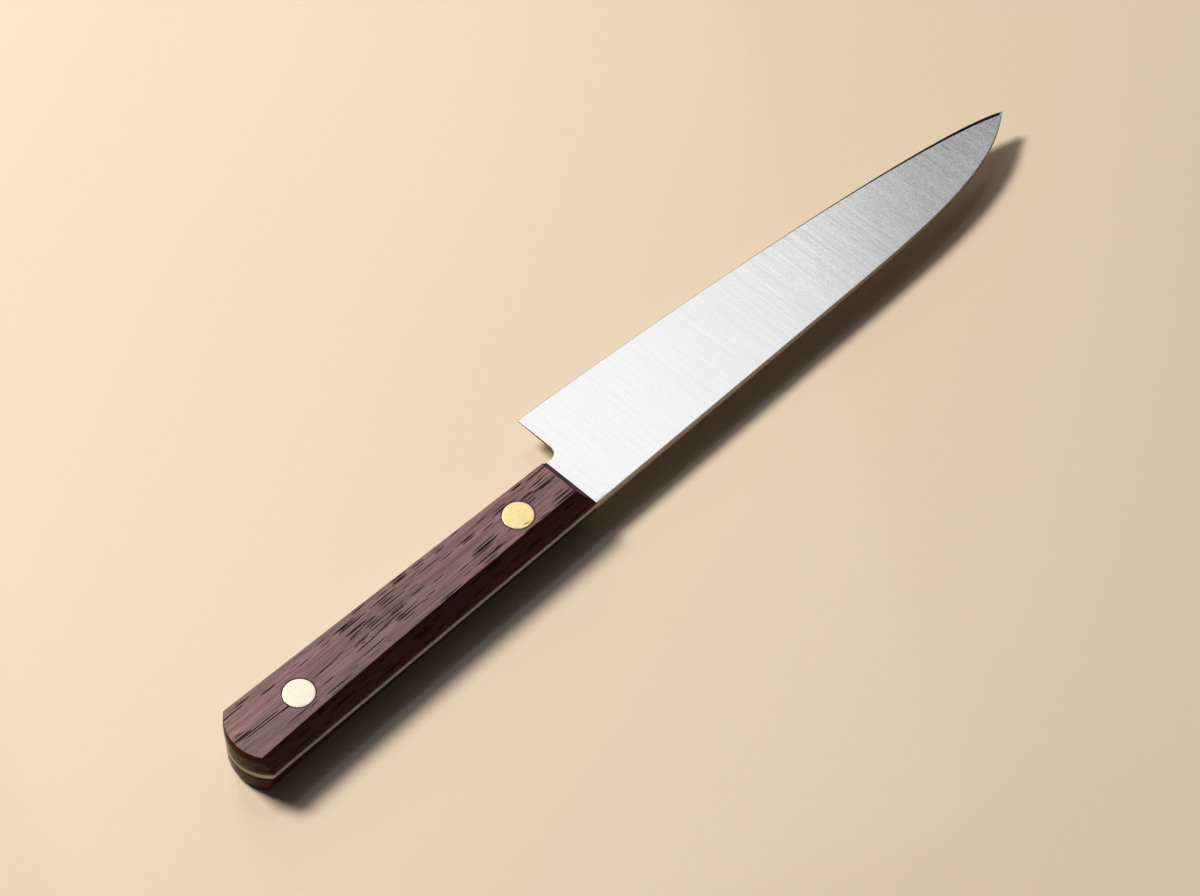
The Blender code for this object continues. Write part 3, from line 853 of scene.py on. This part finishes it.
def brass(name, bright, deep):
    """Rivet brass, sanded flush with the wood: fine scratches along the handle and a faint tarnish."""
    made, tree, shader, place = new_finish(name)
    scratched = tuple(channel * 0.8 for channel in deep)
    scarred = (0.30, 0.18, 0.07)
    scratches = noise(tree, place, (260, 4200, 4200), detail=3.0, roughness=0.6)
    mottle = noise(tree, place, (620, 620, 620), detail=3.0, roughness=0.6)
    colour = blend(tree, ranged(tree, mottle, 0.38, 0.66), deep, bright)
    colour = blend(tree, ranged(tree, scratches, 0.35, 0.6, 0.25, 0.0), colour, scratched)
    scars = stroke_share(tree, place, BRASS_SCARS)
    link(tree, blend(tree, scars, colour, scarred), shader.inputs["Base Color"])
    link(tree, ranged(tree, scratches, 0.3, 0.7, 0.30, 0.26), shader.inputs["Roughness"])
    shader.inputs["Metallic"].default_value = 1.0
    add_relief(tree, shader, scratches, 0.05, 0.00001)
    return made


# Pieces

GROUND, SIDE, HONED, DULL = range(4)            # order of the blade's finishes
WOOD_FACE, WOOD_SIDE, WOOD_FRONT = range(3)     # order of a scale's finishes


def steel_zones(piece):
    """Gives the side walls, the bevel and the heel's back their own steel."""
    mesh = piece.data
    heel_back = KNIFE_PLACE + Vector(HEEL_BACK).to_3d()
    values = mesh.attributes["zone"].data
    for face in mesh.polygons:
        honed = sum(values[index].value for index in face.vertices) / len(face.vertices)
        if honed < 0.9 * EDGE_ZONE:
            face.material_index = HONED
        elif abs(face.normal.z) < SIDE_TILT:
            behind = KNIFE_PLACE.x < face.center.x < heel_back.x and face.center.y > heel_back.y
            face.material_index = DULL if behind else SIDE
    finishes = {}
    for face in mesh.polygons:
        for key in face.edge_keys:
            finishes.setdefault(key, set()).add(face.material_index)
    for edge in mesh.edges:
        if finishes.get(edge.key) == {GROUND, HONED}:
            edge.use_edge_sharp = True


def wood_zones(piece):
    """Gives the sides of a scale and its front facet their own finish."""
    for face in piece.data.polygons:
        if abs(face.normal.z) < SIDE_TILT:
            face.material_index = WOOD_FRONT if face.normal.x > FRONT_TILT else WOOD_SIDE


def build_knife():
    cutters = []
    for name, place in RIVETS.items():
        cutter = bpy.data.objects.new(f"{name}_hole", turned_mesh(f"{name}_hole", rivet_hole()))
        bpy.context.scene.collection.objects.link(cutter)
        cutter.location = (*place, 0.0)
        cutters.append(cutter)

    steels = [ground_steel(), side_steel(), honed_steel(), dull_steel()]
    blade = finished_piece("steel_blade", steel_mesh(), steels, cutters)
    steel_zones(blade)
    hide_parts("blade")
    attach(blade, "root")

    woods = wood_finishes()
    for name, side in (("left_scale", 1), ("right_scale", -1)):
        scale = finished_piece(f"{name}_wood", scale_mesh(name, side), woods, cutters)
        wood_zones(scale)
        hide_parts(name)
        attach(scale, "root")

    # One brass in two copies: the rear rivet's paler tint is a painted sheen.
    metals = {
        "front_rivet": brass("front_brass", bright=(0.712, 0.571, 0.301), deep=(0.660, 0.515, 0.237)),
        "rear_rivet": brass("rear_brass_painted_sheen", bright=(0.637, 0.586, 0.475), deep=(0.627, 0.572, 0.457)),
    }
    for name, place in RIVETS.items():
        for part, profile in (("tube", tube_half()), ("pin", pin_half())):
            node_name = f"{name}_{part}"
            mesh = turned_mesh(node_name, profile)
            half = finished_piece(f"{node_name}_half", mesh, [metals[name]], (), place)
            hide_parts(node_name)
            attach(half, "root")

    for cutter in cutters:
        bpy.data.objects.remove(cutter, do_unlink=True)


# Stage

LAMP_TURN = math.radians(66.0)     # the windows' direction from the knife, round from +X
LAMP_RISE = math.radians(46.0)     # and up from the floor
LAMP_DISTANCE = 1.3
WHITE = (1.0, 1.0, 1.0)
DAYLIGHT = (1.0, 0.995, 0.985)

# Softboxes: left, right, low and high edge round the aimed line, radiance and colour
SOFTBOXES = {
    "window_near": (-0.10, 0.235, -0.33, 0.50, 1.645, WHITE),
    "window_edge": (0.235, 0.372, -0.05, 0.50, 1.55, WHITE),
    "wall_beside": (0.372, 0.90, -0.05, 0.50, 0.53, WHITE),
    "window_main": (-0.82, -0.39, 0.14, 0.44, 67.0, DAYLIGHT),
    "window_low": (-0.10, 0.20, -0.60, -0.33, 5.0, DAYLIGHT),
}
FLOOR_REACH = 6.0
FLOOR_DROP = 0.00002               # keeps the floor clear of the scale that lies on it
BESIDE_FADE = (0.36, 0.46)         # heights of a view ray where the pale backdrop beside the knife ends
OVERHEAD_FADE = (0.91, 0.96)       # and where the one overhead starts


def softbox(name, left, right, low, high, radiance, colour):
    """Rectangle of light facing the knife."""
    out = Vector((math.cos(LAMP_RISE) * math.cos(LAMP_TURN), math.cos(LAMP_RISE) * math.sin(LAMP_TURN),
                  math.sin(LAMP_RISE)))
    across = Vector((math.sin(LAMP_TURN), -math.cos(LAMP_TURN), 0.0))
    up = across.cross(out)
    data = bpy.data.lights.new(name, "AREA")
    data.shape = "RECTANGLE"
    data.size = right - left
    data.size_y = high - low
    data.energy = radiance * math.pi * data.size * data.size_y
    data.color = colour
    lamp = bpy.data.objects.new(name, data)
    bpy.context.scene.collection.objects.link(lamp)
    centre = out * LAMP_DISTANCE + across * (left + right) / 2 + up * (low + high) / 2
    lamp.matrix_world = Matrix.Translation(centre) @ Matrix((-across, up, out)).transposed().to_4x4()


def build_floor():
    made, tree, shader, place = new_finish("pale_floor")
    deep, pale = (0.765, 0.612, 0.440), (0.785, 0.632, 0.460)
    cloud = noise(tree, place, (3.0, 3.0, 3.0))
    link(tree, blend(tree, ranged(tree, cloud, 0.3, 0.7), deep, pale), shader.inputs["Base Color"])
    shader.inputs["Roughness"].default_value = 0.06
    shader.inputs["Specular IOR Level"].default_value = 0.2
    mesh = bpy.data.meshes.new("floor")
    corners = [(x * FLOOR_REACH, y * FLOOR_REACH, 0) for x, y in ((-1, -1), (1, -1), (1, 1), (-1, 1))]
    mesh.from_pydata(corners, [], [(0, 1, 2, 3)])
    mesh.materials.append(made)
    floor = bpy.data.objects.new("floor", mesh)
    bpy.context.scene.collection.objects.link(floor)
    floor.location.z = -FLOOR_DROP


def build_world():
    """Dim studio with a pale backdrop beside and overhead, which the steel and brass show too."""
    world = bpy.data.worlds.new("studio")
    world.use_nodes = True
    tree = world.node_tree
    dim, backdrop = (0.045, 0.043, 0.041), (0.80, 0.75, 0.68)
    path = node(tree, "ShaderNodeLightPath").outputs
    seen = sums(tree, "MAXIMUM", path["Is Camera Ray"], path["Is Glossy Ray"])
    seen = sums(tree, "MAXIMUM", seen, path["Is Transmission Ray"])
    sky = node(tree, "ShaderNodeTexCoord").outputs["Generated"]
    rise = part_of(tree, sky, "Z")
    beside = ranged(tree, rise, *BESIDE_FADE, 1.0, 0.0)
    overhead = ranged(tree, rise, *OVERHEAD_FADE)
    pale = sums(tree, "MULTIPLY", seen, sums(tree, "MAXIMUM", beside, overhead))
    link(tree, blend(tree, pale, dim, backdrop), tree.nodes["Background"].inputs["Color"])
    bpy.context.scene.world = world


def build_camera():
    data = bpy.data.cameras.new("camera")
    data.lens = 142.91
    data.sensor_width = 36.0
    data.clip_start = 0.05
    data.clip_end = 30.0
    camera = bpy.data.objects.new("camera", data)
    bpy.context.scene.collection.objects.link(camera)
    right = Vector((0.70848, -0.705131, -0.029102))
    up = Vector((0.591025, 0.570287, 0.570493))
    back = Vector((-0.385676, -0.421382, 0.820787))
    place = Vector((-0.44751, -0.48102, 0.93574))
    camera.matrix_world = Matrix.Translation(place) @ Matrix((right, up, back)).transposed().to_4x4()
    bpy.context.scene.camera = camera


def build_stage():
    build_floor()
    build_world()
    build_camera()
    for name, settings in SOFTBOXES.items():
        softbox(name, *settings)
    bpy.context.scene.view_settings.view_transform = "Standard"


build_knife()
build_stage()
